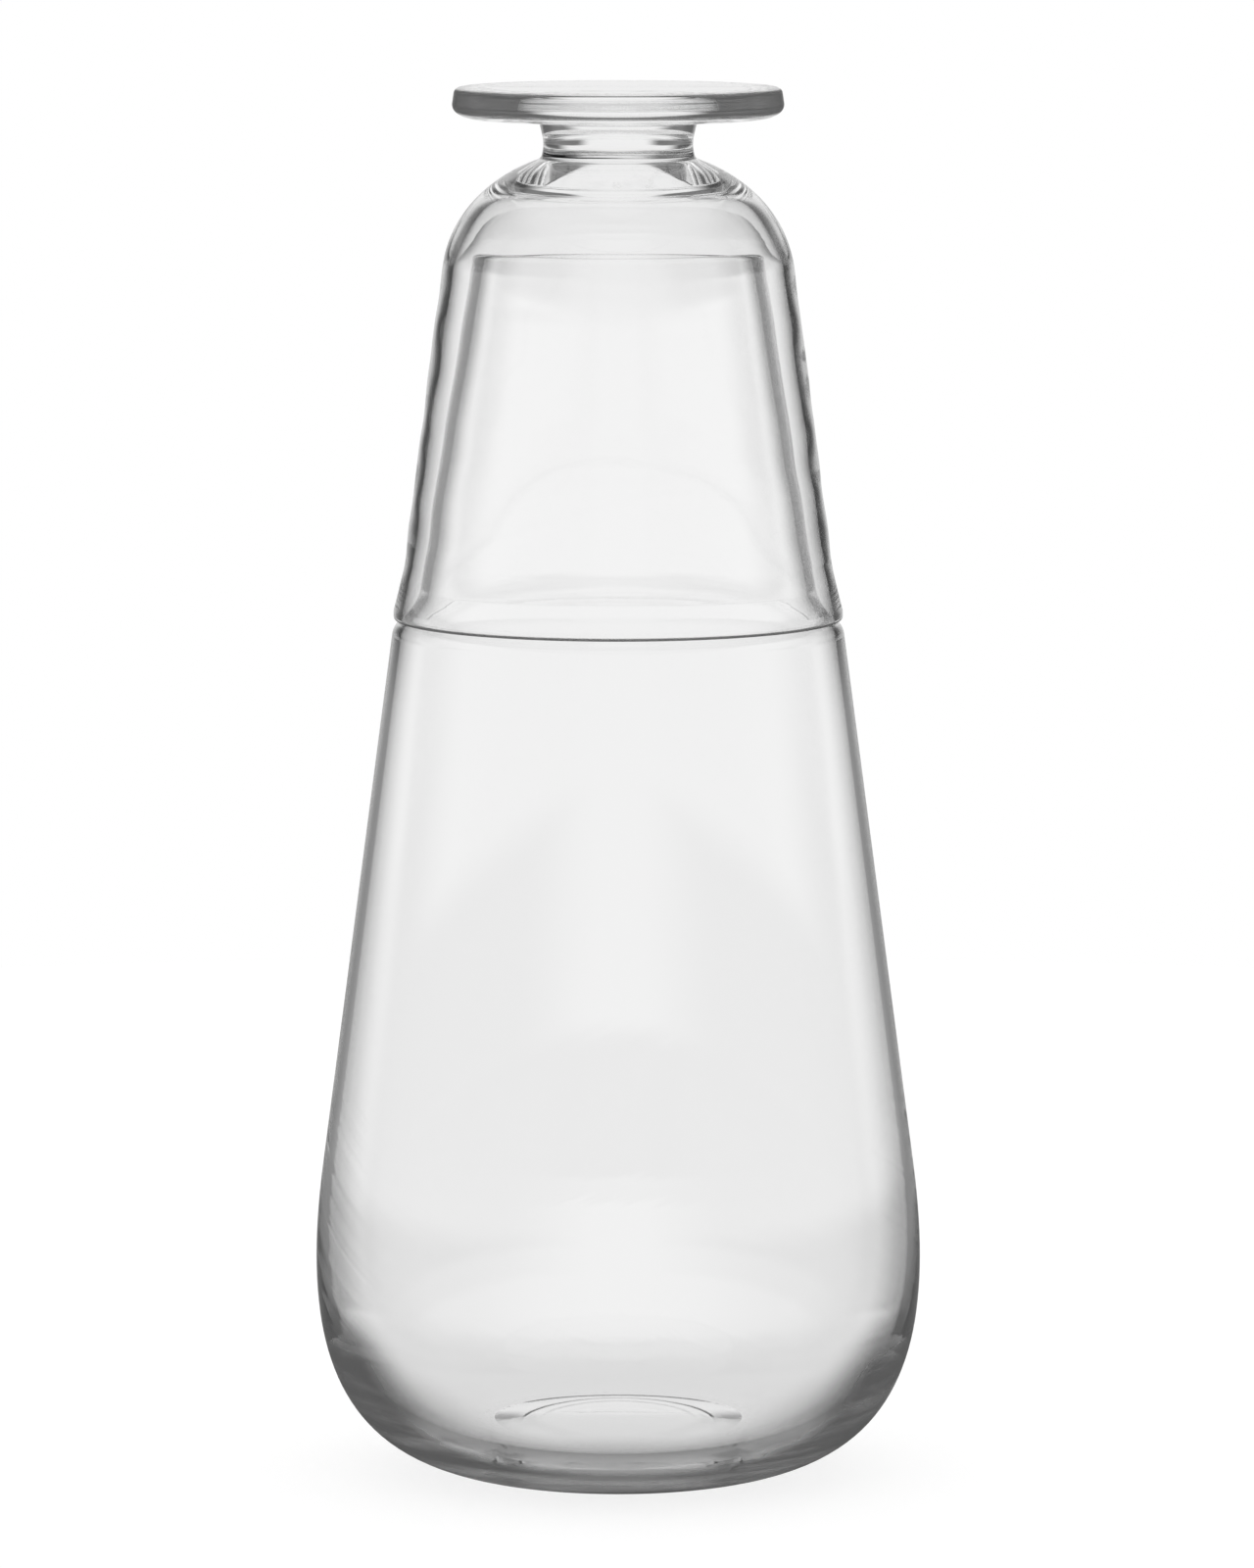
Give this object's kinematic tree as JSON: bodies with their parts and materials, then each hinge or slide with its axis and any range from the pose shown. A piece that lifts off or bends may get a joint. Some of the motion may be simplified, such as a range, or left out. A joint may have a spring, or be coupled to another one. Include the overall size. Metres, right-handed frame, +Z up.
{
  "type": "bedside carafe with tumbler",
  "caption": "Clear blown-glass water carafe with a round heel and a tapered neck, covered by an inverted footed tumbler that lifts off as its lid and drinking glass.",
  "frame": {"origin": "on the axis, at the plane of the ring that the carafe stands on", "axes": "+Z up along the axis of the carafe and tumbler, +X and +Y level"},
  "size_m": [0.1138, 0.1138, 0.2605],
  "materials": {
    "carafe_glass": "clear, fire-polished, faint blown ripples",
    "tumbler_glass": "clear, fire-polished, faint blown ripples"
  },
  "bodies": {
    "carafe": {"carafe": "carafe_glass"},
    "tumbler": {"tumbler_bowl": "tumbler_glass", "tumbler_foot": "tumbler_glass"}
  },
  "joints": [
    {"name": "tumbler_lift", "type": "slide", "parent": "carafe", "child": "tumbler", "axis": [0, 0, 1], "range_m": [0, 0.075]}
  ]
}
